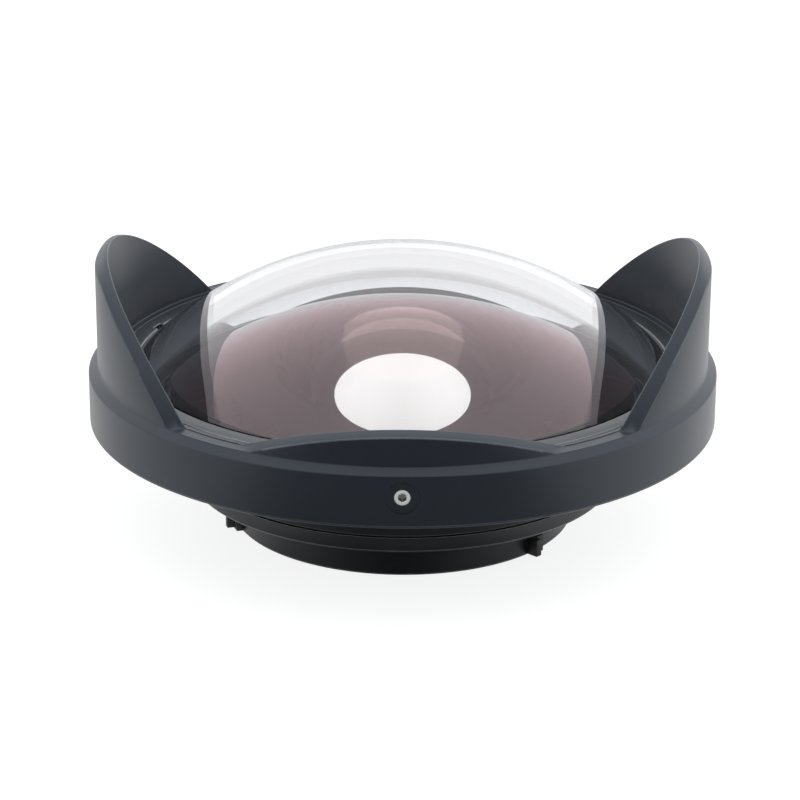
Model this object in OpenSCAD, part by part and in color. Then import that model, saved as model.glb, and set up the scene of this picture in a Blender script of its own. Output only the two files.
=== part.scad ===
// Fisheye conversion lens with a petal hood, standing on its rear bayonet face.
// The optical axis is Z, the dome looks up and the front of the hood is at -Y.
// All sizes are millimetres.

/* [Dome glass] */
// Diameter of the ground edge of the dome
dome_d = 90.4; // [88:0.2:98]
// Width of the step ground into the rim for the retaining ring
dome_step_w = 1.3; // [1.1:0.1:2]
// Height of that step
dome_step_h = 1.6; // [1.2:0.1:2.4]
// Height of the glass edge below the step
dome_edge_h = 4.8; // [4:0.1:6]
// Rise of the outer sphere above the step
dome_rise = 17.3; // [11:0.1:20]
// Thickness of the glass on the axis
dome_t = 4.9; // [3:0.1:7]
// Width of the flat rim behind the glass
dome_margin = 1.8; // [1.6:0.1:3]

/* [Front retaining ring] */
// Thickness of the ring over the glass
ring_t = 1.0; // [0.8:0.1:2]
// Gap between the bare glass and the ring's inner edge
ring_gap = 0.7; // [0.3:0.1:0.9]
// Chamfer on the ring's inner edge
ring_chamfer = 0.35; // [0.1:0.05:0.5]
// Depth of the threaded skirt below the glass step
ring_skirt_h = 1.5; // [1.2:0.05:1.6]
// Width of the two spanner notches
notch_w = 2.4; // [1.5:0.1:4]
// Radial depth of the spanner notches
notch_depth = 1.1; // [0.6:0.1:1.6]
// Angle of the first spanner notch, turned from the front towards the right
notch_angle = 250; // [0:1:359]

/* [Barrel] */
// Diameter of the straight rear part
body_d = 72.6; // [70:0.2:80]
// Height of the straight rear part
body_h = 2.5; // [1.5:0.1:6]
// Height of the taper up to the hood stop
taper_h = 5.6; // [5:0.1:10]
// Thickness of the hood stop
stop_t = 1.45; // [1:0.05:1.8]
// How far the hood stop stands out beyond the cup
stop_rim = 1.65; // [1:0.05:2]
// Height of the dome's seat above the underside of the hood stop
seat_h = 4.0; // [3:0.05:5]
// Wall of the cup round the dome
cup_wall = 2.55; // [2.4:0.05:4]
// Wall of the neck that carries the retaining ring
neck_wall = 1.3; // [1:0.05:1.6]

/* [Second lens] */
// Diameter of the second lens
lens2_d = 78; // [74:0.2:80]
// Thickness of its edge
lens2_edge = 3.0; // [2:0.1:4]
// Height of the ground neck above the edge
lens2_neck = 7.95; // [6:0.05:9]
// Rise of its front surface above the neck
lens2_rise = 9.4; // [6:0.1:10]
// Its thickness on the axis
lens2_t = 2.35; // [2:0.05:5]
// Diameter of the hollow in its rear face
lens2_hollow_d = 39.6; // [34:0.2:40]
// Thickness of its retaining ring
ring2_t = 2.9; // [2:0.1:3.5]
// Radial width of its retaining ring
ring2_w = 4.2; // [2:0.1:4.5]
// Least wall of the barrel round its pocket
lens2_wall = 1.5; // [1:0.1:1.7]
// Least floor of the barrel behind its pocket
lens2_floor = 1.2; // [0.8:0.1:1.3]

/* [Rear cell] */
// Outer diameter of the cell
cell_d = 50; // [48:0.2:51]
// How far the cell's flange stands out
cell_rim = 2.5; // [2.2:0.1:3]
// Thickness of the cell's flange
cell_flange_t = 2.0; // [1.6:0.1:3]
// Thickness of the threaded ring that holds the cell
cell_ring_t = 1.0; // [0.8:0.1:1.5]
// Diameter of the cell's mouth in front of its lenses
cell_mouth_d = 40; // [38:0.2:44]
// Diameter of the cemented pair
pair_d = 43.8; // [40:0.2:45]
// Width of the lip that the pair seats against
pair_lip = 7.0; // [5:0.1:8]
// Thickness of that lip
pair_lip_t = 0.45; // [0.3:0.05:1]
// Edge thickness of the pair's front element
pair_front_edge = 1.8; // [1.5:0.1:4]
// Edge thickness of the pair's rear element
pair_rear_edge = 2.2; // [1.8:0.1:4]
// Rise of the pair's front surface
pair_rise = 1.0; // [0.5:0.1:3]
// Rise of the cemented surface between the two elements
cement_rise = 1.8; // [0.8:0.1:3]
// Thickness of the ring that holds the pair
pair_ring_t = 1.3; // [1:0.1:2]
// Radial width of that ring
pair_ring_w = 1.3; // [1.1:0.1:3]

/* [Bayonet mount] */
// Outer diameter of the rear barrel
mount_d = 58.0; // [57:0.2:62]
// Wall of the rear barrel round its bore
mount_wall = 3.4; // [3:0.1:4]
// Height of the rear barrel below the flange
mount_h = 7.1; // [6:0.1:10]
// Thickness of the flange
flange_t = 2.6; // [2:0.1:4]
// Depth of the recess in the rear face
recess_h = 2.6; // [2:0.1:3.5]
// How much wider the recess is than the bore above it
recess_step = 0.8; // [0.5:0.1:1]
// Thickness of the gasket under the flange
gasket_t = 0.25; // [0.2:0.05:0.6]
// How far the gasket lies inside the rim
gasket_inset = 0.6; // [0.2:0.1:1]
// Radial width of the gasket
gasket_w = 7.2; // [5:0.1:7.5]
// Number of screws through the flange
mount_screws_n = 6; // [4:1:8]
// Diameter of those screws
mount_screw_d = 2.0; // [1.6:0.1:2.4]
// How far those screws reach into the barrel
mount_screw_reach = 3.6; // [2.5:0.1:4]

/* [Bayonet claws] */
// Angle of the first claw, turned from the front towards the right
claw_angle = 46; // [0:1:119]
// Length of a claw round the barrel
claw_l = 3.0; // [2.6:0.1:5]
// Length of its tall block
claw_block_l = 1.2; // [0.8:0.1:1.4]
// Height of a claw along the axis
claw_h = 2.9; // [2:0.1:4]
// Height of a claw above the rear face
claw_lift = 0.3; // [0.2:0.1:1]
// How far the tall block stands out of the barrel
claw_out = 2.1; // [1.5:0.1:3]
// How far the low step stands out of the barrel
claw_step_out = 1.0; // [0.6:0.1:1.4]
// How deep a claw is let into the barrel
claw_inset = 0.8; // [0.5:0.1:1]
// Diameter of the claw screws
claw_screw_d = 0.6; // [0.5:0.1:0.7]

/* [Petal hood] */
// Width of the lip inside the petals
hood_lip = 1.25; // [0.8:0.05:3]
// Wall of the petals
petal_wall = 2.25; // [1.8:0.05:4]
// How far the petals are set in from the outside of the ring
petal_step = 1.55; // [0.8:0.05:3]
// Height of the sloping shoulder
shoulder_h = 1.05; // [0.5:0.05:1.5]
// Height of the tall side petals above the ledge
tall_h = 19.4; // [14:0.1:26]
// Width of the tall petals at the ledge
tall_w = 70.6; // [60:0.2:74]
// Height of the bevel on the outside of the tall petals' tips
bevel_h = 2.0; // [1:0.1:5]
// Width of the flat left at those tips
tip_land = 0.6; // [0.3:0.1:1.2]
// Height of the short front and back petals above the ledge
short_h = 5.4; // [3:0.1:9]
// Width of the short petals at the ledge
short_w = 51; // [40:0.5:56]
// How far the short petals' edges fall towards the outside
rim_fall = 0.6; // [0:0.1:1]
// Chamfer on the hood's lower edge
hood_chamfer = 0.4; // [0.2:0.05:1]

/* [Hood set screws] */
// Diameter of the set screws
set_screw_d = 2.5; // [2:0.1:3]
// Height of the set screws above the hood's lower edge
set_screw_h = 5.3; // [4.8:0.05:5.6]
// Width across the flats of the hexagon socket
socket_af = 1.3; // [0.9:0.1:1.5]
// Depth of the hexagon socket
socket_depth = 1.3; // [0.8:0.1:2]
// Outer diameter of the threaded inserts
insert_d = 5.3; // [4.6:0.1:5.6]
// Depth of the groove in the barrel that the screws' points run in
groove_depth = 0.85; // [0.7:0.05:0.95]

/* [Hidden] */
$fn = 128;
// Facets of the lens surfaces, which are shallow parts of large spheres
sphere_fn = 300;
// Radial clearance between the turning hood and the barrel
hood_clear = 0.1;
// Radial clearance round the hood stop
stop_clear = 0.2;
// Axial clearance over the hood stop
stop_play = 0.05;
// Clearance of a lens or a ring in its bore
lens_fit = 0.1;
// Clearance of a screw, claw or insert in its seat
seat_fit = 0.03;
// Running clearance of a set screw in its insert
screw_run = 0.05;
// Thickness of the cement between the paired lenses
cement_t = 0.03;
// Overlap that lets a cut break cleanly through a face
eps = 0.5;

// Heights from the rear face to the front
flange_z = mount_h;
mount_top = flange_z + flange_t;
body_z = mount_top + gasket_t;
taper_z = body_z + body_h;
hood_z = taper_z + taper_h;
stop_top = hood_z + stop_t;
seat_z = hood_z + seat_h;
step_z = seat_z + dome_edge_h;
neck_top = step_z - lens_fit;
skirt_z = step_z - ring_skirt_h;
ledge_z = step_z + ring_t;
set_screw_z = hood_z + set_screw_h;

// Radii from the glass outwards
dome_r = dome_d / 2;
glass_r = dome_r - dome_step_w;
hollow_r = dome_r - dome_margin;
pocket_r = dome_r + lens_fit;
neck_r = pocket_r + neck_wall;
cup_r = pocket_r + cup_wall;
stop_r = cup_r + stop_rim;
hood_bore_r = cup_r + hood_clear;
petal_in_r = hood_bore_r + hood_lip;
petal_out_r = petal_in_r + petal_wall;
hood_r = petal_out_r + petal_step;
body_r = body_d / 2;

// Spheres of the dome, worked out from their rims and rises
function cap_r(rim, rise) = (rim * rim + rise * rise) / (2 * rise);
dome_apex = step_z + dome_step_h + dome_rise;
dome_sphere_r = cap_r(glass_r, dome_rise);
hollow_apex = dome_apex - dome_t;
hollow_sphere_r = cap_r(hollow_r, hollow_apex - seat_z);

// Dome seal in the seat, under the flat rim of the glass
lens2_r = lens2_d / 2;
pocket2_r = lens2_r + lens_fit;
dome_seal_d = 1.2;
dome_seal_r = (hollow_r + dome_r) / 2;
seal_room = 0.08;

// Second lens and its ring, stacked down from the dome's seat
ring2_play = 0.5;
lens2_top = seat_z - ring2_play - ring2_t;
lens2_z = lens2_top - lens2_edge;
ring2_in_r = lens2_r - ring2_w;
lens2_apex = lens2_top + lens2_neck + lens2_rise;
lens2_hollow_r = lens2_hollow_d / 2;
lens2_hollow_rise = lens2_apex - lens2_t - lens2_z;

// Rear cell, stacked up from the barrel's rear face and the recess
cell_r = cell_d / 2;
cell_flange_r = cell_r + cell_rim;
cell_ring_z = body_z + lens_fit;
cell_flange_z = cell_ring_z + cell_ring_t;
cell_seat_z = cell_flange_z + cell_flange_t;
cell_top = lens2_z - lens_fit;
cell_seal_d = 0.95;
cell_seal_r = cell_r + cell_rim / 2;
pair_r = pair_d / 2;
pair_bore_r = pair_r + lens_fit;
pair_clear_r = pair_r - pair_lip;
cell_mouth_r = cell_mouth_d / 2;
pair_seal_d = 0.9;
pair_ring_top = recess_h + pair_ring_t;
pair_rear_z = pair_ring_top + pair_seal_d + seal_room;
pair_mid_z = pair_rear_z + pair_rear_edge;
pair_top = pair_mid_z + pair_front_edge;
pair_seal_r = pair_r - pair_seal_d / 2 - seal_room;

// Mount
mount_r = mount_d / 2;
mount_bore_gap = 0.6;
mount_bore_r = mount_r - mount_wall;
cell_tail_r = mount_bore_r - mount_bore_gap;
recess_r = mount_bore_r + recess_step;
mount_screw_r = mount_screw_d / 2;
mount_screw_ring_r = (mount_r + body_r) / 2;
edge_chamfer = 0.35;

// Claws
claw_n = 3;
claw_floor_r = mount_r - claw_inset;
claw_screw_r = claw_screw_d / 2;
claw_screw_x = (claw_block_l + claw_l) / 2;
claw_head_r = claw_screw_r * 1.5;
claw_head_h = 0.4;
claw_screw_reach = 1.2;
claw_step_r = mount_r + claw_step_out;
claw_face_y = sqrt(claw_step_r * claw_step_r - claw_screw_x * claw_screw_x);
claw_head_y = claw_face_y - claw_head_h;

// Set screws
set_screw_r = set_screw_d / 2;
set_screw_sink = 0.15;
set_screw_face_r = hood_r - set_screw_sink;
set_screw_point = 0.8;
groove_r = cup_r - groove_depth;
point_clear = 0.35;
set_screw_tip_r = groove_r + point_clear;
set_screw_blunt_r = set_screw_r - set_screw_point;
insert_r = insert_d / 2;
insert_back = 0.6;
insert_sink = 0.12;
insert_in_r = hood_bore_r + insert_back;
set_screws_n = 3;

// Top of the tall petals
petal_top = ledge_z + tall_h;

metal_black = "#2a2b2e";
hood_black = "#2c2d31";
rubber_black = "#161616";
steel = "#c9cacc";
glass_tint = [0.80, 0.84, 0.88, 0.45];

// Disc from height z0 to height z1
module disc(r, z0, z1) {
    translate([0, 0, z0])
        cylinder(r = r, h = z1 - z0);
}

// Flat ring from height z0 to height z1
module band(r_in, r_out, z0, z1) {
    difference() {
        disc(r_out, z0, z1);
        disc(r_in, z0 - eps, z1 + eps);
    }
}

// Frustum from radius r0 at height z0 to radius r1 at height z1
module cone(r0, r1, z0, z1) {
    translate([0, 0, z0])
        cylinder(r1 = r0, r2 = r1, h = z1 - z0);
}

// Ball under a dome-shaped surface, given the surface's top
module ball_below(r, apex) {
    translate([0, 0, apex - r])
        sphere(r = r, $fn = sphere_fn);
}

// Rubber ring of round section
module o_ring(ring_r, section_d, z) {
    translate([0, 0, z])
        rotate_extrude()
            translate([ring_r, 0])
                circle(d = section_d);
}

// Places a shape so that its Z axis points outwards at one angle from the front
module radial(angle, z) {
    rotate([0, 0, angle])
        translate([0, 0, z])
            rotate([90, 0, 0])
                children();
}

// Copies a shape round the optical axis
module around(n, first = 0) {
    for (i = [0 : n - 1])
        rotate([0, 0, first + i * 360 / n])
            children();
}

// Places a shape on the circle of the flange screws
module at_mount_screws() {
    around(mount_screws_n)
        translate([0, -mount_screw_ring_r, 0])
            children();
}

// Turned housing that carries the glass: a tapered body with a cup for the dome
module main_barrel() {
    color(metal_black)
        difference() {
            union() {
                disc(body_r, body_z, taper_z);
                cone(body_r, stop_r, taper_z, hood_z);
                disc(pocket2_r + lens2_wall, lens2_z - lens2_floor, hood_z);
                disc(stop_r, hood_z, stop_top);
                disc(cup_r, hood_z, skirt_z - lens_fit);
                disc(neck_r, hood_z, neck_top);
            }
            disc(pocket_r, seat_z, neck_top + eps);
            disc(pocket2_r, lens2_z, seat_z + eps);
            disc(cell_r + lens_fit, cell_seat_z - eps, lens2_z + eps);
            disc(cell_flange_r + lens_fit, body_z - eps, cell_seat_z);
            dome_seal_groove();
            point_groove();
            at_mount_screws()
                disc(mount_screw_r + seat_fit, body_z - eps, body_z + mount_screw_reach + seal_room);
        }
}

// Groove for the rubber ring under the dome
module dome_seal_groove() {
    half = dome_seal_d / 2 + seal_room;
    band(dome_seal_r - half, dome_seal_r + half, seat_z - dome_seal_d - seal_room, seat_z + eps);
}

// V groove round the cup that the points of the set screws run in
module point_groove() {
    half = groove_depth + set_screw_blunt_r;
    rotate_extrude()
        polygon([
            [cup_r + eps, set_screw_z - half - eps],
            [cup_r + eps, set_screw_z + half + eps],
            [groove_r, set_screw_z + set_screw_blunt_r],
            [groove_r, set_screw_z - set_screw_blunt_r]
        ]);
}

// Front glass: a thin dome of even thickness with a ground step at its rim
module dome_lens() {
    color(glass_tint)
        difference() {
            intersection() {
                disc(dome_r, seat_z, dome_apex + eps);
                ball_below(dome_sphere_r, dome_apex);
            }
            ball_below(hollow_sphere_r, hollow_apex);
            band(glass_r, dome_r + eps, step_z, dome_apex + eps);
        }
}

// Rubber ring that seals the dome in its seat
module dome_seal() {
    color(rubber_black)
        o_ring(dome_seal_r, dome_seal_d, seat_z - (dome_seal_d + seal_room) / 2);
}

// Screw-on ring that clamps the dome, with two spanner notches in its inner edge
module front_ring() {
    ring_in_r = glass_r + ring_gap;
    ring_out_r = cup_r - lens_fit / 2;
    color(metal_black)
        difference() {
            union() {
                band(ring_in_r, ring_out_r, step_z, ledge_z);
                band(neck_r + lens_fit, ring_out_r, skirt_z, step_z);
            }
            cone(ring_in_r, ring_in_r + ring_chamfer, ledge_z - ring_chamfer, ledge_z);
            around(2, notch_angle)
                translate([-notch_w / 2, -ring_in_r - notch_depth, step_z - eps])
                    cube([notch_w, notch_depth + eps, ring_t + 2 * eps]);
        }
}

// Negative meniscus behind the dome, with a ground neck that stands through its ring
module second_lens() {
    color(glass_tint)
        difference() {
            union() {
                disc(lens2_r, lens2_z, lens2_top);
                intersection() {
                    disc(ring2_in_r, lens2_z, lens2_apex + eps);
                    ball_below(cap_r(ring2_in_r, lens2_rise), lens2_apex);
                }
            }
            ball_below(cap_r(lens2_hollow_r, lens2_hollow_rise), lens2_apex - lens2_t);
        }
}

// Threaded ring that holds the second lens
module second_ring() {
    color(metal_black)
        band(ring2_in_r + lens_fit, lens2_r, lens2_top, lens2_top + ring2_t);
}

// Sleeve that carries the rear pair of lenses, with a tail that runs through the mount
module rear_cell() {
    half = cell_seal_d / 2 + seal_room;
    color(metal_black)
        difference() {
            union() {
                disc(cell_tail_r, recess_h, cell_flange_z);
                disc(cell_r, cell_ring_z, cell_top);
                disc(cell_flange_r, cell_flange_z, cell_seat_z);
            }
            disc(pair_bore_r, recess_h - eps, pair_top);
            disc(pair_clear_r, pair_top - eps, cell_top + eps);
            disc(cell_mouth_r, pair_top + pair_lip_t, cell_top + eps);
            band(cell_seal_r - half, cell_seal_r + half,
                cell_seat_z - cell_seal_d - seal_room, cell_seat_z + eps);
        }
}

// Rubber ring that seals the cell in the barrel
module cell_seal() {
    color(rubber_black)
        o_ring(cell_seal_r, cell_seal_d, cell_seat_z - (cell_seal_d + seal_room) / 2);
}

// Threaded ring that holds the cell in the barrel
module cell_ring() {
    color(metal_black)
        band(cell_r + lens_fit, cell_flange_r, cell_ring_z, cell_flange_z);
}

// Front element of the cemented pair
module rear_lens_front() {
    color(glass_tint)
        difference() {
            union() {
                disc(pair_r, pair_mid_z, pair_top);
                intersection() {
                    disc(pair_clear_r - lens_fit, pair_mid_z, pair_top + pair_rise + eps);
                    ball_below(cap_r(pair_clear_r - lens_fit, pair_rise), pair_top + pair_rise);
                }
            }
            ball_below(cap_r(pair_r, cement_rise) + cement_t, pair_mid_z + cement_rise + cement_t);
        }
}

// Rear element of the cemented pair, with a flat rear face
module rear_lens_back() {
    color(glass_tint)
        intersection() {
            disc(pair_r, pair_rear_z, pair_mid_z + cement_rise + eps);
            ball_below(cap_r(pair_r, cement_rise), pair_mid_z + cement_rise);
        }
}

// Rubber ring behind the pair
module rear_seal() {
    color(rubber_black)
        o_ring(pair_seal_r, pair_seal_d, pair_ring_top + (pair_seal_d + seal_room) / 2);
}

// Threaded ring that holds the pair in the cell
module rear_ring() {
    color(metal_black)
        band(pair_r - pair_ring_w, pair_r + lens_fit / 2, recess_h, pair_ring_top);
}

// Rear mount: a flange and a short barrel with pockets for the claws
module mount_ring() {
    color(metal_black)
        difference() {
            union() {
                cone(mount_r - edge_chamfer, mount_r, 0, edge_chamfer);
                disc(mount_r, edge_chamfer, mount_top);
                cone(body_r - edge_chamfer, body_r, flange_z, flange_z + edge_chamfer);
                disc(body_r, flange_z + edge_chamfer, mount_top);
            }
            disc(mount_bore_r, -eps, mount_top + eps);
            disc(recess_r, -eps, recess_h);
            at_mount_screws() {
                disc(mount_screw_r + seat_fit, flange_z - eps, mount_top + eps);
                cone(2 * mount_screw_r + seat_fit, mount_screw_r + seat_fit,
                    flange_z, flange_z + mount_screw_r);
            }
            around(claw_n, claw_angle) {
                translate([-seat_fit, -mount_r - eps, claw_lift - seat_fit])
                    cube([claw_l + 2 * seat_fit, claw_inset + eps, claw_h + 2 * seat_fit]);
                claw_screw_hole();
            }
        }
}

// Flat gasket between the mount and the barrel
module mount_gasket() {
    gasket_r = body_r - gasket_inset;
    color(rubber_black)
        difference() {
            band(gasket_r - gasket_w, gasket_r, mount_top, body_z);
            at_mount_screws()
                disc(mount_screw_r + seat_fit, mount_top - eps, body_z + eps);
        }
}

// Countersunk screws that hold the mount to the barrel
module mount_screws() {
    slot_w = 0.45;
    slot_depth = 0.4;
    color(metal_black)
        at_mount_screws()
            difference() {
                union() {
                    cone(2 * mount_screw_r, mount_screw_r, flange_z, flange_z + mount_screw_r);
                    disc(mount_screw_r, flange_z + mount_screw_r / 2, body_z + mount_screw_reach);
                }
                for (turn = [0, 90])
                    rotate([0, 0, turn])
                        translate([-mount_screw_r, -slot_w / 2, flange_z - eps])
                            cube([2 * mount_screw_r, slot_w, slot_depth + eps]);
            }
}

// Places a shape on the axis of the first claw's screw, with Z pointing outwards
module at_claw_screw() {
    translate([claw_screw_x, 0, claw_lift + claw_h / 2])
        rotate([90, 0, 0])
            children();
}

// Hole for a claw's screw, with a seat for its head
module claw_screw_hole() {
    at_claw_screw() {
        disc(claw_screw_r + seat_fit, claw_floor_r - claw_screw_reach - seat_fit, claw_face_y + eps);
        disc(claw_head_r + seat_fit, claw_head_y, mount_r + claw_out);
    }
}

// Bayonet claw: a tall block with a low step, let into the barrel
module claw(i) {
    color(metal_black)
        rotate([0, 0, claw_angle + i * 360 / claw_n])
            difference() {
                union() {
                    claw_slab(0, claw_block_l, mount_r + claw_out);
                    claw_slab(claw_block_l - eps, claw_l, claw_step_r);
                }
                claw_screw_hole();
            }
}

// Slab of a claw from x0 to x1, rounded to an outer radius
module claw_slab(x0, x1, r) {
    intersection() {
        translate([x0, -r - eps, claw_lift])
            cube([x1 - x0, r + eps - claw_floor_r, claw_h]);
        disc(r, 0, claw_lift + claw_h + eps);
    }
}

module bayonet_claw_right() {
    claw(0);
}

module bayonet_claw_back() {
    claw(1);
}

module bayonet_claw_left() {
    claw(2);
}

// Small screws that hold the claws
module claw_screws() {
    color(steel)
        around(claw_n, claw_angle)
            at_claw_screw() {
                disc(claw_screw_r, claw_floor_r - claw_screw_reach, claw_head_y + claw_head_h / 2);
                disc(claw_head_r, claw_head_y, claw_face_y);
            }
}

// Moulded hood: a ring that turns on the barrel, with two tall and two short petals
module lens_hood() {
    color(hood_black)
        difference() {
            union() {
                hood_ring();
                petals();
            }
            disc(hood_bore_r, hood_z - eps, ledge_z + eps);
            disc(stop_r + stop_clear, hood_z - eps, stop_top + stop_play);
            around(set_screws_n)
                radial(0, set_screw_z) {
                    disc(insert_r + seat_fit, insert_in_r, hood_r + eps);
                    disc(set_screw_r + screw_run, 0, hood_r);
                }
        }
}

// Ring of the hood with its chamfer and shoulder, turned from the front
module hood_ring() {
    rotate([0, 0, -90]) {
        cone(hood_r - hood_chamfer, hood_r, hood_z, hood_z + hood_chamfer);
        disc(hood_r, hood_z + hood_chamfer, ledge_z - shoulder_h);
        cone(hood_r, petal_out_r, ledge_z - shoulder_h, ledge_z);
    }
}

// Petal wall, kept only under the arches that shape the petals' edges
module petals() {
    intersection() {
        petal_wall_ring();
        union() {
            around(2)
                short_arch();
            tall_arch();
        }
    }
}

// Cylinder along X whose top is the arch of the tall petals
module tall_arch() {
    reach = 2 * hood_r;
    r = cap_r(tall_w / 2, tall_h);
    translate([-reach / 2, 0, ledge_z + tall_h - r])
        rotate([0, 90, 0])
            cylinder(r = r, h = reach);
}

// Cylinder whose top is the arch of the front petal, tilted so that its edge falls outwards
module short_arch() {
    tilt = atan(rim_fall / petal_wall);
    side_y = sqrt(petal_in_r * petal_in_r - short_w * short_w / 4);
    side_gain = (petal_in_r - side_y) * rim_fall / petal_wall;
    r = cap_r(short_w / 2, (short_h + side_gain) * cos(tilt));
    translate([0, -petal_in_r, ledge_z + short_h - r / cos(tilt)])
        rotate([90 + tilt, 0, 0])
            translate([0, 0, -petal_in_r / 2])
                cylinder(r = r, h = petal_in_r);
}

// Turned wall that the petals are cut from, bevelled outside past its top
module petal_wall_ring() {
    bevel_over = bevel_h * tip_land / (petal_wall - tip_land);
    rotate_extrude()
        polygon([
            [petal_in_r, ledge_z - shoulder_h],
            [petal_out_r, ledge_z - shoulder_h],
            [petal_out_r, petal_top - bevel_h],
            [petal_in_r, petal_top + bevel_over]
        ]);
}

// Threaded inserts in the hood, with flat faces just below its outside
module screw_inserts() {
    color(metal_black)
        around(set_screws_n)
            radial(0, set_screw_z)
                band(set_screw_r + screw_run, insert_r, insert_in_r, hood_r - insert_sink);
}

// Set screw with a cone point and a hexagon socket
module set_screw(angle) {
    color(steel)
        radial(angle, set_screw_z)
            difference() {
                union() {
                    cone(set_screw_blunt_r, set_screw_r, set_screw_tip_r, set_screw_tip_r + set_screw_point);
                    disc(set_screw_r, set_screw_tip_r + set_screw_point, set_screw_face_r);
                }
                translate([0, 0, set_screw_face_r - socket_depth])
                    rotate([0, 0, 30])
                        cylinder(r = socket_af / sqrt(3), h = socket_depth + eps, $fn = 6);
            }
}

module hood_screw_front() {
    set_screw(0);
}

module hood_screw_right() {
    set_screw(360 / set_screws_n);
}

module hood_screw_left() {
    set_screw(-360 / set_screws_n);
}

main_barrel();
dome_lens();
dome_seal();
front_ring();
second_lens();
second_ring();
rear_cell();
cell_seal();
cell_ring();
rear_lens_front();
rear_lens_back();
rear_seal();
rear_ring();
mount_ring();
mount_gasket();
mount_screws();
bayonet_claw_right();
bayonet_claw_back();
bayonet_claw_left();
claw_screws();
lens_hood();
screw_inserts();
hood_screw_front();
hood_screw_right();
hood_screw_left();
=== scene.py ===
import math

import bmesh
import bpy
from mathutils import Matrix, Vector


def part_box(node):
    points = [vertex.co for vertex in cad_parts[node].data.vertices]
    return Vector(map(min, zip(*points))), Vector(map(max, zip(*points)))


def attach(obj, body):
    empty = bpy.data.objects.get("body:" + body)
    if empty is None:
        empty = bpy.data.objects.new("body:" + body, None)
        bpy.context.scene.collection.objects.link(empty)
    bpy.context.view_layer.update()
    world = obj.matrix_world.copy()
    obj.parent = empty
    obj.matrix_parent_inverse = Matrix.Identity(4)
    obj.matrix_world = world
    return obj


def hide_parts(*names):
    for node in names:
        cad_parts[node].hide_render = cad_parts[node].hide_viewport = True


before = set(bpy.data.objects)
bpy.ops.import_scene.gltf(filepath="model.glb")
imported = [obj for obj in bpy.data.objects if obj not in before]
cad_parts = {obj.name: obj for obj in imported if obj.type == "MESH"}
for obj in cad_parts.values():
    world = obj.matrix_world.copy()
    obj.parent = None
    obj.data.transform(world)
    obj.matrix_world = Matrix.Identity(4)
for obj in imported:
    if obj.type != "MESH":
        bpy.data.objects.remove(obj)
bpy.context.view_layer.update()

# Main barrel
# The housing that carries all the glass: one turned aluminium piece, black anodised, with a straight
# rear part, a taper up to the stop that the hood rests on, and a cup for the dome.
mm = 0.001
turn_steps = 320
barrel_low, barrel_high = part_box("main_barrel")
hood_low, hood_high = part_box("lens_hood")
dome_low, dome_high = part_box("dome_lens")
second_low, second_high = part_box("second_lens")
screws_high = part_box("mount_screws")[1]
lens_gap = 0.1 * mm
screw_gap = 0.03 * mm
body_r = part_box("mount_ring")[1].x
stop_r = barrel_high.x
taper_z = barrel_low.z + 2.5 * mm
stop_top = hood_low.z + 1.45 * mm
pocket_r = dome_high.x + lens_gap
pocket2_r = second_high.x + lens_gap
ring_pocket_r = pocket2_r + 1.3 * mm
second_edge_z = second_low.z + 3.0 * mm
cup_r = pocket_r + 2.55 * mm
neck_r = pocket_r + 1.3 * mm
skirt_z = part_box("front_ring")[0].z - lens_gap
cell_bore_r = 25.1 * mm
cell_flange_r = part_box("rear_cell")[1].x + lens_gap
cell_seat_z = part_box("cell_ring")[1].z + 2.0 * mm
groove_r = cup_r - 0.85 * mm
groove_half = 0.45 * mm
groove_z = (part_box("hood_screw_front")[0].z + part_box("hood_screw_front")[1].z) / 2
seal_low, seal_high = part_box("dome_seal")
seal_gap = 0.08 * mm
seal_w = seal_high.z - seal_low.z
mount_screw_r = 1.0 * mm
mount_screw_ring_r = screws_high.y - 2 * mount_screw_r
mount_screw_count = 6
barrel_edge = 0.18 * mm
barrel_highlight_width = 0.7 * barrel_edge
drill_run = 1 * mm
drill_steps = 64
weld_gap = 1e-7
facing = 0.9


def rounded_outline(bm, outline, edge):
    """Draws a closed outline of (radius, height) points in a bmesh and rounds its corners."""
    corners = [bm.verts.new((r, 0, z)) for r, z in outline]
    for start, end in zip(corners, corners[1:] + corners[:1]):
        bm.edges.new((start, end))
    bmesh.ops.bevel(bm, geom=corners, affect="VERTICES", offset=edge, segments=3, profile=0.5, material=-1)


def spun(bm, steps=turn_steps):
    """Turns what a bmesh holds once round the optical axis, closed and facing outwards."""
    bmesh.ops.spin(
        bm, geom=bm.verts[:] + bm.edges[:], cent=(0, 0, 0), axis=(0, 0, 1),
        angle=math.tau, steps=steps, use_merge=True,
    )
    bmesh.ops.remove_doubles(bm, verts=bm.verts, dist=weld_gap)
    bmesh.ops.recalc_face_normals(bm, faces=bm.faces)
    return bm


def drill(steps, place):
    """A round cutter made of (radius, depth) steps along its own Z axis, put in its place."""
    bm = bmesh.new()
    points = [bm.verts.new((r, 0, z)) for r, z in steps]
    for start, end in zip(points, points[1:]):
        bm.edges.new((start, end))
    spun(bm, drill_steps)
    bmesh.ops.transform(bm, matrix=place, verts=bm.verts)
    return bm


def bored(bm, drills):
    """Cuts drills out of a bmesh."""
    work = bpy.data.objects.new("work", bpy.data.meshes.new("work"))
    bm.to_mesh(work.data)
    bpy.context.scene.collection.objects.link(work)
    spare = [work]
    for cutter in drills:
        tool = bpy.data.objects.new("drill", bpy.data.meshes.new("drill"))
        cutter.to_mesh(tool.data)
        cutter.free()
        bpy.context.scene.collection.objects.link(tool)
        spare.append(tool)
        cut = work.modifiers.new("bore", "BOOLEAN")
        cut.operation, cut.solver, cut.object = "DIFFERENCE", "MANIFOLD", tool
    ready = work.evaluated_get(bpy.context.evaluated_depsgraph_get())
    bm.clear()
    bm.from_mesh(ready.to_mesh())
    for thing in spare:
        bpy.data.objects.remove(thing)
    return bm


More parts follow.
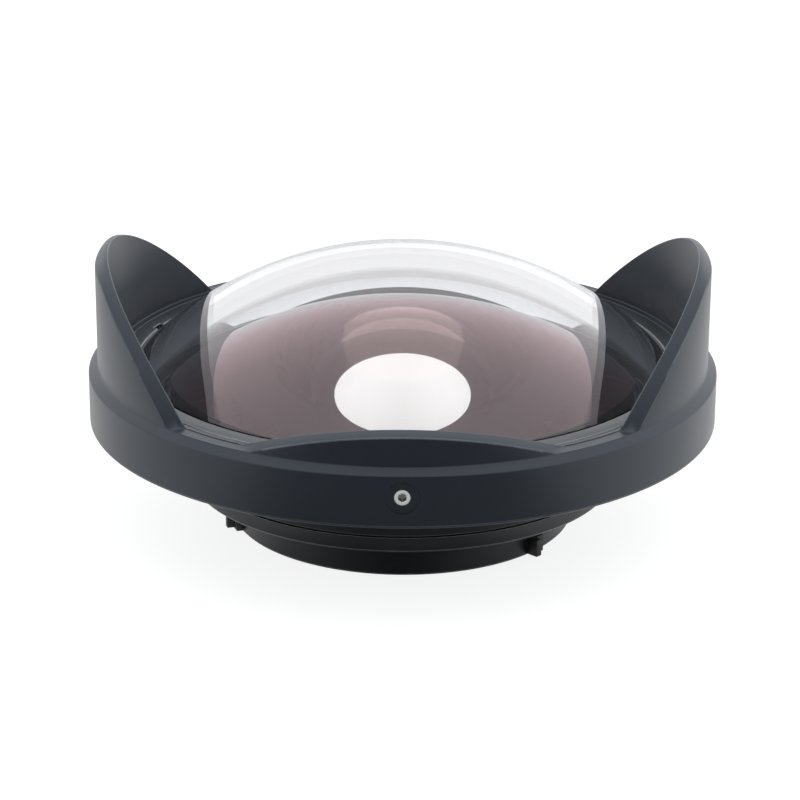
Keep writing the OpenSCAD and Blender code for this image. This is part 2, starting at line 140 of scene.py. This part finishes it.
def paint_edge_highlight(bm, width):
    """Gives the narrow faces that round an edge the second material, a paler colour that paints a highlight
    along the edge.
    """
    for face in bm.faces:
        if min(edge.calc_length() for edge in face.edges) < width:
            face.material_index = 1


def made_piece(name, bm, body, slot, *materials, sharp=30):
    """Makes a finished piece of a bmesh, smooth except at edges sharper than an angle in degrees."""
    mesh = bpy.data.meshes.new(name)
    bm.to_mesh(mesh)
    bm.free()
    mesh.shade_smooth()
    mesh.set_sharp_from_angle(angle=math.radians(sharp))
    for material in materials:
        mesh.materials.append(material)
    piece = bpy.data.objects.new(name, mesh)
    bpy.context.scene.collection.objects.link(piece)
    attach(piece, body)
    return piece


class Wire:
    """A socket in a node tree. Sums on wires add Math nodes, and node() adds any other node."""

    def __init__(self, tree, socket=None):
        self.tree = tree
        self.socket = socket

    def node(self, kind, settings=None, inputs=None, output=0):
        made = self.tree.nodes.new(kind)
        for key, value in (settings or {}).items():
            if key == "stops":
                ramp = made.color_ramp.elements
                while len(ramp) < len(value):
                    ramp.new(0.5)
                for stop, (place, shade) in zip(ramp, value):
                    stop.position = place
                    stop.color = (*shade, 1) if isinstance(shade, tuple) else (shade, shade, shade, 1)
            else:
                setattr(made, key, value)
        for key, value in (inputs or {}).items():
            if isinstance(value, Wire):
                self.tree.links.new(value.socket, made.inputs[key])
            else:
                made.inputs[key].default_value = value
        return Wire(self.tree, made.outputs[output])

    def math(self, operation, first, second=0.0):
        return self.node("ShaderNodeMath", {"operation": operation}, {0: first, 1: second})

    def __add__(self, other):
        return self.math("ADD", self, other)

    def __sub__(self, other):
        return self.math("SUBTRACT", self, other)

    def __rsub__(self, other):
        return self.math("SUBTRACT", other, self)

    def __mul__(self, other):
        return self.math("MULTIPLY", self, other)

    def __pow__(self, other):
        return self.math("POWER", self, other)

    __radd__ = __add__
    __rmul__ = __mul__

    def outputs(self):
        """All outputs of the node that this wire comes from, by name."""
        return {out.name: Wire(self.tree, out) for out in self.socket.node.outputs}

    def ramp(self, *stops):
        return self.node("ShaderNodeValToRGB", {"stops": stops}, {0: self})

    def smooth(self, low, high, first=0.0, last=1.0):
        """A soft step from one value to another between two values of this wire."""
        return self.node("ShaderNodeMapRange", {"interpolation_type": "SMOOTHSTEP"}, {
            "Value": self, "From Min": low, "From Max": high, "To Min": first, "To Max": last,
        })


def new_material(name):
    """An empty material, with a wire that adds nodes to it."""
    material = bpy.data.materials.new(name)
    material.use_nodes = True
    material.node_tree.nodes.clear()
    return material, Wire(material.node_tree)


def surface(wire, shader, kind="ShaderNodeOutputMaterial"):
    """Makes a shader the surface of the wire's tree."""
    wire.tree.links.new(shader.socket, wire.tree.nodes.new(kind).inputs["Surface"])


def axes_of(wire):
    """Object coordinates, their three parts and the distance from the optical axis."""
    place = wire.node("ShaderNodeTexCoord", output="Object")
    x, y, z = wire.node("ShaderNodeSeparateXYZ", inputs={0: place}).outputs().values()
    return place, x, y, z, (x * x + y * y) ** 0.5


def noise(wire, place, scale, detail=3.0):
    """A cloudy pattern with a number of patches to the metre."""
    return wire.node("ShaderNodeTexNoise", inputs={"Vector": place, "Scale": scale, "Detail": detail})


def anodised(name, dark, light, roughness, marks=0.02):
    """Satin black, as on anodised aluminium, with fine turning marks and a slightly uneven dye."""
    material, wire = new_material(name)
    place, _, _, z, radius = axes_of(wire)
    turned = wire.node("ShaderNodeCombineXYZ", inputs={0: radius, 1: z})
    groove = noise(wire, turned, scale=5200.0, detail=2.0)
    dye = noise(wire, place, scale=90.0, detail=4.0)
    bump = wire.node("ShaderNodeBump", inputs={"Strength": 0.25, "Distance": marks * mm, "Height": groove})
    surface(wire, wire.node("ShaderNodeBsdfPrincipled", inputs={
        "Base Color": (dye * 0.65 + groove * 0.35).ramp((0.35, dark), (0.7, light)),
        "Roughness": roughness - 0.06 + groove * 0.12,
        "IOR": 1.5,
        "Normal": bump,
    }))
    return material


barrel_black = anodised(
    "barrel_black", dark=(0.012, 0.0128, 0.0148), light=(0.02, 0.0212, 0.0245), roughness=0.4
)
# Paler grey for the narrow faces that round the barrel's edges: a painted highlight along them.
barrel_edge_highlight = anodised(
    "barrel_edge_highlight", dark=(0.09, 0.096, 0.104), light=(0.2, 0.21, 0.222), roughness=0.35
)
seat_black = anodised(
    "seat_black", dark=(0.02, 0.021, 0.023), light=(0.04, 0.042, 0.045), roughness=0.16
)
outline = [
    (cell_flange_r, barrel_low.z),
    (body_r, barrel_low.z),
    (body_r, taper_z),
    (stop_r, hood_low.z),
    (stop_r, stop_top),
    (cup_r, stop_top),
    (cup_r, groove_z - groove_half - (cup_r - groove_r)),
    (groove_r, groove_z - groove_half),
    (groove_r, groove_z + groove_half),
    (cup_r, groove_z + groove_half + (cup_r - groove_r)),
    (cup_r, skirt_z),
    (neck_r, skirt_z),
    (neck_r, barrel_high.z),
    (pocket_r, barrel_high.z),
    (pocket_r, dome_low.z),
    (seal_high.x + seal_gap, dome_low.z),
    (seal_high.x + seal_gap, dome_low.z - seal_w - seal_gap),
    (seal_high.x - seal_w - seal_gap, dome_low.z - seal_w - seal_gap),
    (seal_high.x - seal_w - seal_gap, dome_low.z),
    (ring_pocket_r, dome_low.z),
    (ring_pocket_r, second_edge_z),
    (pocket2_r, second_edge_z),
    (pocket2_r, second_low.z),
    (cell_bore_r, second_low.z),
    (cell_bore_r, cell_seat_z),
    (cell_flange_r, cell_seat_z),
]
bm = bmesh.new()
rounded_outline(bm, outline, barrel_edge)
hole = [
    (0, barrel_low.z - drill_run), (mount_screw_r + screw_gap, barrel_low.z - drill_run),
    (mount_screw_r + screw_gap, screws_high.z + seal_gap), (0, screws_high.z + seal_gap),
]
on_ring = Matrix.Translation((0, -mount_screw_ring_r, 0))
drills = [
    drill(hole, Matrix.Rotation(turn * math.tau / mount_screw_count, 4, "Z") @ on_ring)
    for turn in range(mount_screw_count)
]
spun(bm)
# The narrow faces that round the barrel's edges get the painted highlight.
paint_edge_highlight(bm, barrel_highlight_width)
for face in bm.faces:
    if face.normal.z > facing and abs(face.calc_center_median().z - dome_low.z) < barrel_edge:
        face.material_index = 2
bored(bm, drills)
barrel = made_piece(
    "barrel_shell", bm, "barrel", "barrel_black", barrel_black, barrel_edge_highlight, seat_black
)
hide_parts("main_barrel")

# Rear cell, its lenses and rings
# A black sleeve with a cemented pair of lenses, which a threaded ring holds from behind. It seals
# against the barrel with a rubber ring, and a second threaded ring holds it there.
haze_share = 0.04
glance_from = 0.15
glance_full = 0.8
upright = 0.01
level = 0.999


def coated_glass(name, tint, gloss, gain, ior):
    """Polished glass whose coating gains and tints what it mirrors, less so at a glancing angle."""
    material, wire = new_material(name)
    haze = noise(wire, wire.node("ShaderNodeTexCoord", output="Object"), scale=60.0)
    clear = wire.node("ShaderNodeBsdfRefraction", inputs={
        "Color": (*tint, 1),
        "Roughness": 0.0,
        "IOR": ior,
    })
    bounce = wire.node("ShaderNodeFresnel", inputs={"IOR": ior})
    glance = bounce.smooth(glance_from, glance_full)
    mirror = wire.node("ShaderNodeBsdfPrincipled", inputs={
        "Base Color": (glance + haze * haze_share).ramp((0.0, gloss), (1.0, 1.0)),
        "Metallic": 1.0,
        "Roughness": 0.0,
    })
    share = bounce.math("MINIMUM", bounce * (gain + (1 - gain) * glance), 1.0)
    surface(wire, wire.node("ShaderNodeMixShader", inputs={0: share, 1: clear, 2: mirror}))
    return material


def cap(rim_r, rim_z, apex_z, points=96):
    """Points of a spherical surface from its rim to the axis."""
    rise = apex_z - rim_z
    sphere_r = (rim_r * rim_r + rise * rise) / (2 * rise)
    reach = math.asin(rim_r / sphere_r)
    turns = [reach * (1 - i / points) for i in range(points + 1)]
    return [(sphere_r * math.sin(t), apex_z - sphere_r * (1 - math.cos(t))) for t in turns]


def glass_piece(name, outline, slot, front, paint, rear, rear_r):
    """Spins an open outline. Ground faces are painted, and the rear inside rear_r has its own coating."""
    bm = bmesh.new()
    points = [bm.verts.new((r, 0, z)) for r, z in outline]
    for start, end in zip(points, points[1:]):
        bm.edges.new((start, end))
    spun(bm)
    for face in bm.faces:
        radius = face.calc_center_median().xy.length
        if radius < rear_r and face.normal.z < 0:
            face.material_index = 2
        elif abs(face.normal.z) < upright or (radius > rear_r and abs(face.normal.z) > level):
            face.material_index = 1
    return made_piece(name, bm, "barrel", slot, front, paint, rear, sharp=20)


edge_paint, wire = new_material("lens_edge_paint")
grain = noise(wire, wire.node("ShaderNodeTexCoord", output="Object"), scale=1500.0)
surface(wire, wire.node("ShaderNodeBsdfPrincipled", inputs={
    "Base Color": grain.ramp((0.3, (0.006, 0.006, 0.007)), (0.8, (0.012, 0.012, 0.013))),
    "Roughness": 0.75 + grain * 0.15,
}))
clear_tint = (0.99, 0.99, 0.985)
pair_glass = coated_glass("pair_glass", clear_tint, gloss=(0.85, 0.75, 0.78), gain=0.5, ior=1.55)
pair_low, pair_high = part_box("rear_lens_back")
pair_front_low, pair_front_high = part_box("rear_lens_front")
pair_r = pair_high.x
pair_top = pair_front_low.z + 1.8 * mm
pair_clear_r = pair_r - 7.1 * mm
outline = (
    [(0, pair_low.z), (pair_r, pair_low.z), (pair_r, pair_top)]
    + cap(pair_clear_r, pair_top, pair_front_high.z)
)
pair = glass_piece("rear_pair", outline, "coated_glass", pair_glass, edge_paint, pair_glass, pair_clear_r)
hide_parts("rear_lens_front", "rear_lens_back")

rubber, wire = new_material("rubber")
grain = noise(wire, wire.node("ShaderNodeTexCoord", output="Object"), scale=1200.0, detail=4.0)
surface(wire, wire.node("ShaderNodeBsdfPrincipled", inputs={
    "Base Color": grain.ramp((0.3, (0.006, 0.006, 0.006)), (0.8, (0.014, 0.014, 0.014))),
    "Roughness": 0.6 + grain * 0.2,
}))


def dress(node, material):
    """Gives a carried-over CAD node its finish."""
    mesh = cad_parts[node].data
    mesh.materials.clear()
    mesh.materials.append(material)


for node in ("rear_cell", "cell_ring", "rear_ring"):
    dress(node, barrel_black)
for node in ("cell_seal", "rear_seal", "dome_seal", "mount_gasket"):
    dress(node, rubber)

# Second lens
# A deep negative meniscus behind the dome, on a ground neck that stands through its ring. Its ground
# faces are blackened, and its coating gives the pink-brown sheen that shows inside the dome.
second_r = second_high.x
second_neck_z = second_edge_z + 5.8 * mm
second_clear_r = second_r - 0.7 * mm
second_ring_t = 2.9 * mm
second_hollow_r = 19.8 * mm
second_hollow_z = second_high.z - 2.35 * mm
second_glass = coated_glass("second_glass", clear_tint, gloss=(1.0, 0.57, 0.62), gain=1.85, ior=1.5)
hollow_glass = coated_glass("hollow_glass", clear_tint, gloss=(1.0, 0.74, 0.66), gain=3.2, ior=1.5)
outline = (
    list(reversed(cap(second_clear_r, second_neck_z, second_high.z)))
    + [(second_clear_r, second_edge_z), (second_r, second_edge_z), (second_r, second_low.z)]
    + cap(second_hollow_r, second_low.z, second_hollow_z)
)
second = glass_piece(
    "second_glass", outline, "coated_glass", second_glass, edge_paint, hollow_glass, second_hollow_r
)
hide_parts("second_lens")
bm = bmesh.new()
rounded_outline(bm, [
    (second_clear_r + lens_gap, second_edge_z), (ring_pocket_r - lens_gap, second_edge_z),
    (ring_pocket_r - lens_gap, second_edge_z + second_ring_t),
    (second_clear_r + lens_gap, second_edge_z + second_ring_t),
], barrel_edge)
second_ring = made_piece("second_lens_ring", spun(bm), "barrel", "barrel_black", seat_black)
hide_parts("second_ring")

# Dome
# The front glass: a thin shell of even thickness with a step ground into its rim for the retaining
# ring. Its ground faces are blackened. Close to its outline the glass mirrors what lies behind it.
dome_r = dome_high.x
dome_glass_r = dome_r - 0.7 * mm
dome_hollow_r = dome_r - 1.8 * mm
dome_step_z = dome_low.z + 4.8 * mm
dome_cap_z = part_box("front_ring")[1].z
dome_inner_z = dome_high.z - 4.9 * mm
dome_glass = coated_glass(
    "dome_glass", tint=(0.952, 0.961, 0.965), gloss=(1.0, 0.93, 0.95), gain=1.1, ior=1.5
)
outline = (
    list(reversed(cap(dome_glass_r, dome_cap_z, dome_high.z)))
    + [(dome_glass_r, dome_step_z), (dome_r, dome_step_z), (dome_r, dome_low.z)]
    + cap(dome_hollow_r, dome_low.z, dome_inner_z)
)
dome = glass_piece("dome_glass", outline, "dome_glass", dome_glass, edge_paint, dome_glass, dome_hollow_r)
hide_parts("dome_lens")

# Front ring
# The screw-on ring that clamps the dome: turned aluminium, black anodised, with two spanner notches
# in its inner edge and fine turning marks on its face.
ring_black = anodised(
    "ring_black", dark=(0.022, 0.0235, 0.027), light=(0.065, 0.069, 0.077), roughness=0.32, marks=0.05
)
# Paler grey for the ring's rounded edges, the bright inner edge among them: a painted highlight along the
# edges.
ring_edge_highlight = anodised("ring_edge_highlight", dark=(0.1, 0.105, 0.11), light=(0.3, 0.305, 0.31), roughness=0.3)
ring_edge_w = 0.14 * mm
cad_weld_gap = 1e-6
flat_angle = math.radians(1)


def softened(name, node, width, body, slot, material, edge_material, sharp=25):
    """A copy of a CAD node in the node's place, its sharp edges rounded and given the edge material, a
    paler one on most pieces that paints their highlight.
    """
    bm = bmesh.new()
    bm.from_mesh(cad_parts[node].data)
    bmesh.ops.remove_doubles(bm, verts=bm.verts, dist=cad_weld_gap)
    bmesh.ops.dissolve_limit(bm, angle_limit=flat_angle, verts=bm.verts, edges=bm.edges)
    keen = [
        edge for edge in bm.edges
        if edge.is_manifold and edge.calc_face_angle() > math.radians(sharp)
    ]
    for face in bm.faces:
        face.material_index = 0
    rounded = bmesh.ops.bevel(
        bm, geom=keen, affect="EDGES", offset=width, segments=2, profile=0.5, material=-1,
        clamp_overlap=True,
    )
    for face in rounded["faces"]:
        face.material_index = 1
    piece = made_piece(name, bm, body, slot, material, edge_material)
    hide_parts(node)
    return piece


softened("dome_ring", "front_ring", ring_edge_w, "barrel", "ring_black", ring_black, ring_edge_highlight)

# Mount, gasket and claws
# The rear flange and bayonet barrel, screwed to the housing over a flat gasket. Three small claws
# are let into the barrel and held by one screw each.
mount_edge_w = 0.22 * mm
claw_edge_w = 0.1 * mm
mount_black = anodised(
    "mount_black", dark=(0.013, 0.0142, 0.0168), light=(0.0225, 0.024, 0.0285), roughness=0.38
)
# Light grey for the mount's rounded edges: a painted highlight along them.
mount_edge_highlight = anodised("mount_edge_highlight", dark=(0.28, 0.29, 0.305), light=(0.5, 0.51, 0.53), roughness=0.35)
softened("mount_body", "mount_ring", mount_edge_w, "barrel", "mount_black", mount_black, mount_edge_highlight)
claw_black = anodised("claw_black", dark=(0.006, 0.006, 0.0065), light=(0.012, 0.012, 0.013), roughness=0.5)
for side in ("right", "back", "left"):
    softened(
        f"claw_{side}", f"bayonet_claw_{side}", claw_edge_w, "barrel", "claw_black", claw_black, claw_black
    )


def scratched_steel(name, light, dark, roughness, metallic=1.0):
    """Bright or blackened steel with fine scratches."""
    material, wire = new_material(name)
    scratch = noise(wire, wire.node("ShaderNodeTexCoord", output="Object"), scale=2600.0, detail=5.0)
    bump = wire.node("ShaderNodeBump", inputs={"Strength": 0.2, "Distance": 0.01 * mm, "Height": scratch})
    surface(wire, wire.node("ShaderNodeBsdfPrincipled", inputs={
        "Base Color": scratch.ramp((0.3, dark), (0.7, light)),
        "Metallic": metallic,
        "Roughness": roughness - 0.05 + scratch * 0.15,
        "Normal": bump,
    }))
    return material


screw_black = scratched_steel(
    "screw_black", light=(0.035, 0.035, 0.037), dark=(0.02, 0.02, 0.021), roughness=0.4
)
claw_steel = scratched_steel("claw_steel", light=(0.3, 0.3, 0.3), dark=(0.16, 0.16, 0.165), roughness=0.35)
dress("claw_screws", claw_steel)
dress("mount_screws", screw_black)

# Petal hood
# A moulded hood that turns on the barrel: a ring with a sloping shoulder, and a thin wall on it cut
# by arches into two tall side petals and two short ones in front and behind, whose edges fall outwards.
ledge_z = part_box("front_ring")[1].z
hood_r = hood_high.x
hood_bore_r = cup_r + 0.1 * mm
petal_wall = 2.25 * mm
petal_in_r = hood_bore_r + 1.25 * mm
petal_out_r = petal_in_r + petal_wall
petal_top = hood_high.z
tall_h = petal_top - ledge_z
shoulder_z = ledge_z - 1.05 * mm
hood_chamfer = 0.4 * mm
stop_room_r = stop_r + 0.2 * mm
stop_room_top = stop_top + 0.05 * mm
tall_w = 70.6 * mm
short_w = 51 * mm
short_h = 5.4 * mm
short_slope = 0.6 * mm / petal_wall
tip_bevel = 2.0 * mm
tip_land = 0.6 * mm
tip_blend = 1.3 * mm
hood_edge = 0.2 * mm
hood_highlight_width = 0.65 * hood_edge
rim_round = 0.35 * mm
base_round = 0.4 * mm
hood_steps = 720
insert_r = 2.65 * mm
insert_in_r = hood_bore_r + 0.6 * mm
set_screw_r = 1.25 * mm
set_screw_run = 0.05 * mm
set_screw_count = 3
chamfer_slant = (-0.9, -0.3)
wall_top = petal_top + 5 * mm
edge_span = rim_round + base_round


def arch_radius(width, height):
    """Radius of an arch with a width and a height."""
    return ((width / 2) ** 2 + height ** 2) / (2 * height)


def petal_height(x, y):
    """Height of the petals' edge over the ledge at one place of the wall."""
    arch_r = arch_radius(tall_w, tall_h)
    tall = tall_h - arch_r + math.sqrt(max(arch_r ** 2 - y ** 2, 0))
    out = math.hypot(x, y) - petal_in_r - tip_land
    bevel = tall_h - out * tip_bevel / (petal_wall - tip_land)
    lean = math.cos(math.atan(short_slope))
    side = petal_in_r - math.sqrt(petal_in_r ** 2 - short_w ** 2 / 4)
    arch_r = arch_radius(short_w, (short_h + side * short_slope) * lean)
    drop = (arch_r - math.sqrt(max(arch_r ** 2 - x ** 2, 0))) / lean
    short = short_h + (petal_in_r - abs(y)) * short_slope - drop
    blend = max(tip_blend - abs(tall - bevel), 0) / tip_blend
    return max(min(tall, bevel) - blend * blend * tip_blend / 4, short, 0)


outline = [
    (stop_room_r, hood_low.z),
    (hood_r - hood_chamfer, hood_low.z),
    (hood_r, hood_low.z + hood_chamfer),
    (hood_r, shoulder_z),
    (petal_out_r, ledge_z),
    (petal_out_r, wall_top),
    (petal_in_r + tip_land, wall_top),
    (petal_in_r, wall_top),
    (petal_in_r, ledge_z),
    (hood_bore_r, ledge_z),
    (hood_bore_r, stop_room_top),
    (stop_room_r, stop_room_top),
]
bm = bmesh.new()
rounded_outline(bm, outline, hood_edge)
spun(bm, hood_steps)
for vert in bm.verts:
    over = vert.co.z - ledge_z
    in_wall = petal_in_r - cad_weld_gap < vert.co.xy.length < petal_out_r + cad_weld_gap
    if over > cad_weld_gap and in_wall:
        height = petal_height(vert.co.x, vert.co.y)
        below_top = wall_top - vert.co.z
        if height < edge_span:
            rise = min(over, base_round)
            if below_top < rim_round:
                rise = edge_span - below_top
            vert.co.z = ledge_z + height / edge_span * rise
        elif below_top < rim_round:
            vert.co.z = ledge_z + height - below_top
bmesh.ops.remove_doubles(bm, verts=bm.verts, dist=weld_gap)
hole = [
    (0, hood_bore_r - 2 * drill_run), (set_screw_r + set_screw_run, hood_bore_r - 2 * drill_run),
    (set_screw_r + set_screw_run, insert_in_r), (insert_r + screw_gap, insert_in_r),
    (insert_r + screw_gap, hood_r + drill_run), (0, hood_r + drill_run),
]
outwards = Matrix.Translation((0, 0, groove_z)) @ Matrix.Rotation(math.radians(90), 4, "X")
drills = [
    drill(hole, Matrix.Rotation(turn * math.tau / set_screw_count, 4, "Z") @ outwards)
    for turn in range(set_screw_count)
]


def matte_black(name, dark, light):
    """A fine matte black, as on moulded plastic, with a faint cloudiness."""
    material, wire = new_material(name)
    place = wire.node("ShaderNodeTexCoord", output="Object")
    grain = noise(wire, place, scale=2400.0)
    cloud = noise(wire, place, scale=70.0, detail=4.0)
    bump = wire.node("ShaderNodeBump", inputs={"Strength": 0.3, "Distance": 0.02 * mm, "Height": grain})
    surface(wire, wire.node("ShaderNodeBsdfPrincipled", inputs={
        "Base Color": (grain * 0.4 + cloud * 0.6).ramp((0.35, dark), (0.7, light)),
        "Roughness": 0.31 + cloud * 0.1,
        "IOR": 1.55,
        "Specular Tint": (0.86, 0.92, 1.0, 1),
        "Normal": bump,
    }))
    return material


hood_black = matte_black("hood_black", dark=(0.0085, 0.0112, 0.0175), light=(0.013, 0.0168, 0.0255))
# Paler grey for the narrow faces that round the hood's edges and for its lower chamfer: a painted highlight
# along the edges, and on the chamfer a painted reflection of the white floor.
hood_edge_highlight = matte_black("hood_edge_highlight", dark=(0.05, 0.056, 0.066), light=(0.12, 0.13, 0.146))
paint_edge_highlight(bm, hood_highlight_width)
# The rounded edges of the ring part between the lower chamfer and the ledge keep the plain black. The lower
# chamfer, which faces down and out, gets the painted highlight.
for face in bm.faces:
    height = face.calc_center_median().z
    if hood_low.z + 2 * hood_chamfer < height < ledge_z + 2 * hood_chamfer:
        face.material_index = 0
    elif height < hood_low.z + hood_chamfer and chamfer_slant[0] < face.normal.z < chamfer_slant[1]:
        face.material_index = 1
hood = made_piece("petal_hood", bored(bm, drills), "hood", "hood_black", hood_black, hood_edge_highlight)
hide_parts("lens_hood")

# Set screws and their inserts
# Three stainless set screws with hexagon sockets, in blackened inserts in the hood's wall. Their
# points run in a groove of the barrel and keep the hood from lifting.
socket_r = 0.72 * mm
insert_edge_w = 0.05 * mm
screw_edge_w = 0.06 * mm
screw_steel = scratched_steel(
    "screw_steel", light=(0.99, 0.98, 0.96), dark=(0.94, 0.93, 0.91), roughness=0.6, metallic=0.3
)
socket_steel = scratched_steel(
    "socket_steel", light=(0.5, 0.49, 0.46), dark=(0.36, 0.35, 0.33), roughness=0.3
)
insert_black = matte_black("insert_black", dark=(0.008, 0.01, 0.0145), light=(0.0135, 0.0165, 0.0235))
# The inserts' rounded edges take the hood's paler grey, a painted highlight along them.
softened("hood_inserts", "screw_inserts", insert_edge_w, "hood", "insert_black", insert_black, hood_edge_highlight)
for side in ("front", "right", "left"):
    screw = softened(
        f"set_screw_{side}", f"hood_screw_{side}", screw_edge_w, f"screw_{side}", "screw_steel",
        screw_steel, screw_steel,
    )
    screw.data.materials.append(socket_steel)
    low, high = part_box(f"hood_screw_{side}")
    middle = (low + high) / 2
    axis = Vector((middle.x, middle.y, 0)).normalized()
    for face in screw.data.polygons:
        arm = face.center - middle
        if (arm - axis * arm.dot(axis)).length < socket_r and abs(face.normal.dot(axis)) < facing:
            face.material_index = 2

# Studio
# A white floor and surround that light the lens from above, behind and the sides, with levels of
# their own for what shows through the glass and what is mirrored. The camera stands as it did for
# the photograph.
floor_size = 6
floor_grey = 0.3
floor_glow = 0.85
world_through = 0.9
back_light = 0.65
top_light = 0.75
side_light = 0.88
right_gain = 0.1
horizon_dip = 0.2
floor_mesh = bpy.data.meshes.new("floor")
bm = bmesh.new()
bmesh.ops.create_grid(bm, x_segments=1, y_segments=1, size=floor_size)
bm.to_mesh(floor_mesh)
bm.free()
floor = bpy.data.objects.new("floor", floor_mesh)
bpy.context.scene.collection.objects.link(floor)
floor_white, wire = new_material("floor_white")
path = wire.node("ShaderNodeLightPath").outputs()
_, x, y, _, radius = axes_of(wire)
aside = x.math("ABSOLUTE", x) + y
near_floor = aside.smooth(-0.04, 0.03, last=0.85)
far_floor = aside.smooth(0.06, 0.2, last=0.3)
to_right = x.smooth(-0.1, 0.1, first=0.92, last=1.08)
to_back = y.smooth(0.06, 0.19, first=1.0, last=0.58)
mirrored = (near_floor + far_floor) * to_right * to_back
through = radius.smooth(0.03, 0.08, first=0.72, last=0.42)
seen = path["Is Camera Ray"] + path["Is Transmission Ray"] * through + path["Is Glossy Ray"] * mirrored
matte = wire.node("ShaderNodeBsdfDiffuse", inputs={"Color": (floor_grey, floor_grey, floor_grey, 1)})
glow = wire.node("ShaderNodeEmission", inputs={"Color": (1, 1, 1, 1), "Strength": seen * floor_glow})
surface(wire, wire.node("ShaderNodeAddShader", inputs={0: matte, 1: glow}))
floor_mesh.materials.append(floor_white)

world = bpy.data.worlds.new("studio")
bpy.context.scene.world = world
world.use_nodes = True
world.node_tree.nodes.clear()
wire = Wire(world.node_tree)
path = wire.node("ShaderNodeLightPath").outputs()
seen = path["Is Camera Ray"] + path["Is Transmission Ray"]
white = path["Is Camera Ray"] + path["Is Transmission Ray"] * world_through
view = wire.node("ShaderNodeTexCoord", output="Generated")
way = wire.node("ShaderNodeSeparateXYZ", inputs={0: view}).outputs()
sideways = way["X"].math("ABSOLUTE", way["X"])
lit = way["Y"] * back_light + way["Z"] * top_light + sideways * side_light
studio = lit.smooth(-0.35, 0.9, first=0.03, last=1.38) * (1 + way["X"] * right_gain)
horizon = way["Y"].smooth(0.55, 0.9) * way["Z"].smooth(0.1, 0.55, first=1.0, last=0.0)
strength = white + (1 - seen) * (studio * (1 - horizon * horizon_dip))
cool = seen.ramp((0.0, (0.93, 0.97, 1.0)), (1.0, (1.0, 1.0, 1.0)))
background = wire.node("ShaderNodeBackground", inputs={"Color": cool, "Strength": strength})
surface(wire, background, "ShaderNodeOutputWorld")

elevation = math.radians(20.116)
roll = math.radians(0.312)
aim = Vector((-0.432, 0, 20.013)) * mm
distance = 521.842 * mm
back = Vector((0, -math.cos(elevation), math.sin(elevation)))
right = Vector((1, 0, 0))
up = Vector((0, math.sin(elevation), math.cos(elevation)))
camera_x = right * math.cos(roll) + up * math.sin(roll)
camera_y = up * math.cos(roll) - right * math.sin(roll)
camera = bpy.data.objects.new("camera", bpy.data.cameras.new("camera"))
camera.data.sensor_width = 36
camera.data.lens = 137.916
camera.data.clip_start = 0.01
camera.matrix_world = Matrix.Translation(aim + back * distance) @ Matrix(
    (camera_x, camera_y, back)
).transposed().to_4x4()
bpy.context.scene.collection.objects.link(camera)
bpy.context.scene.camera = camera
bpy.context.scene.view_settings.view_transform = "Standard"
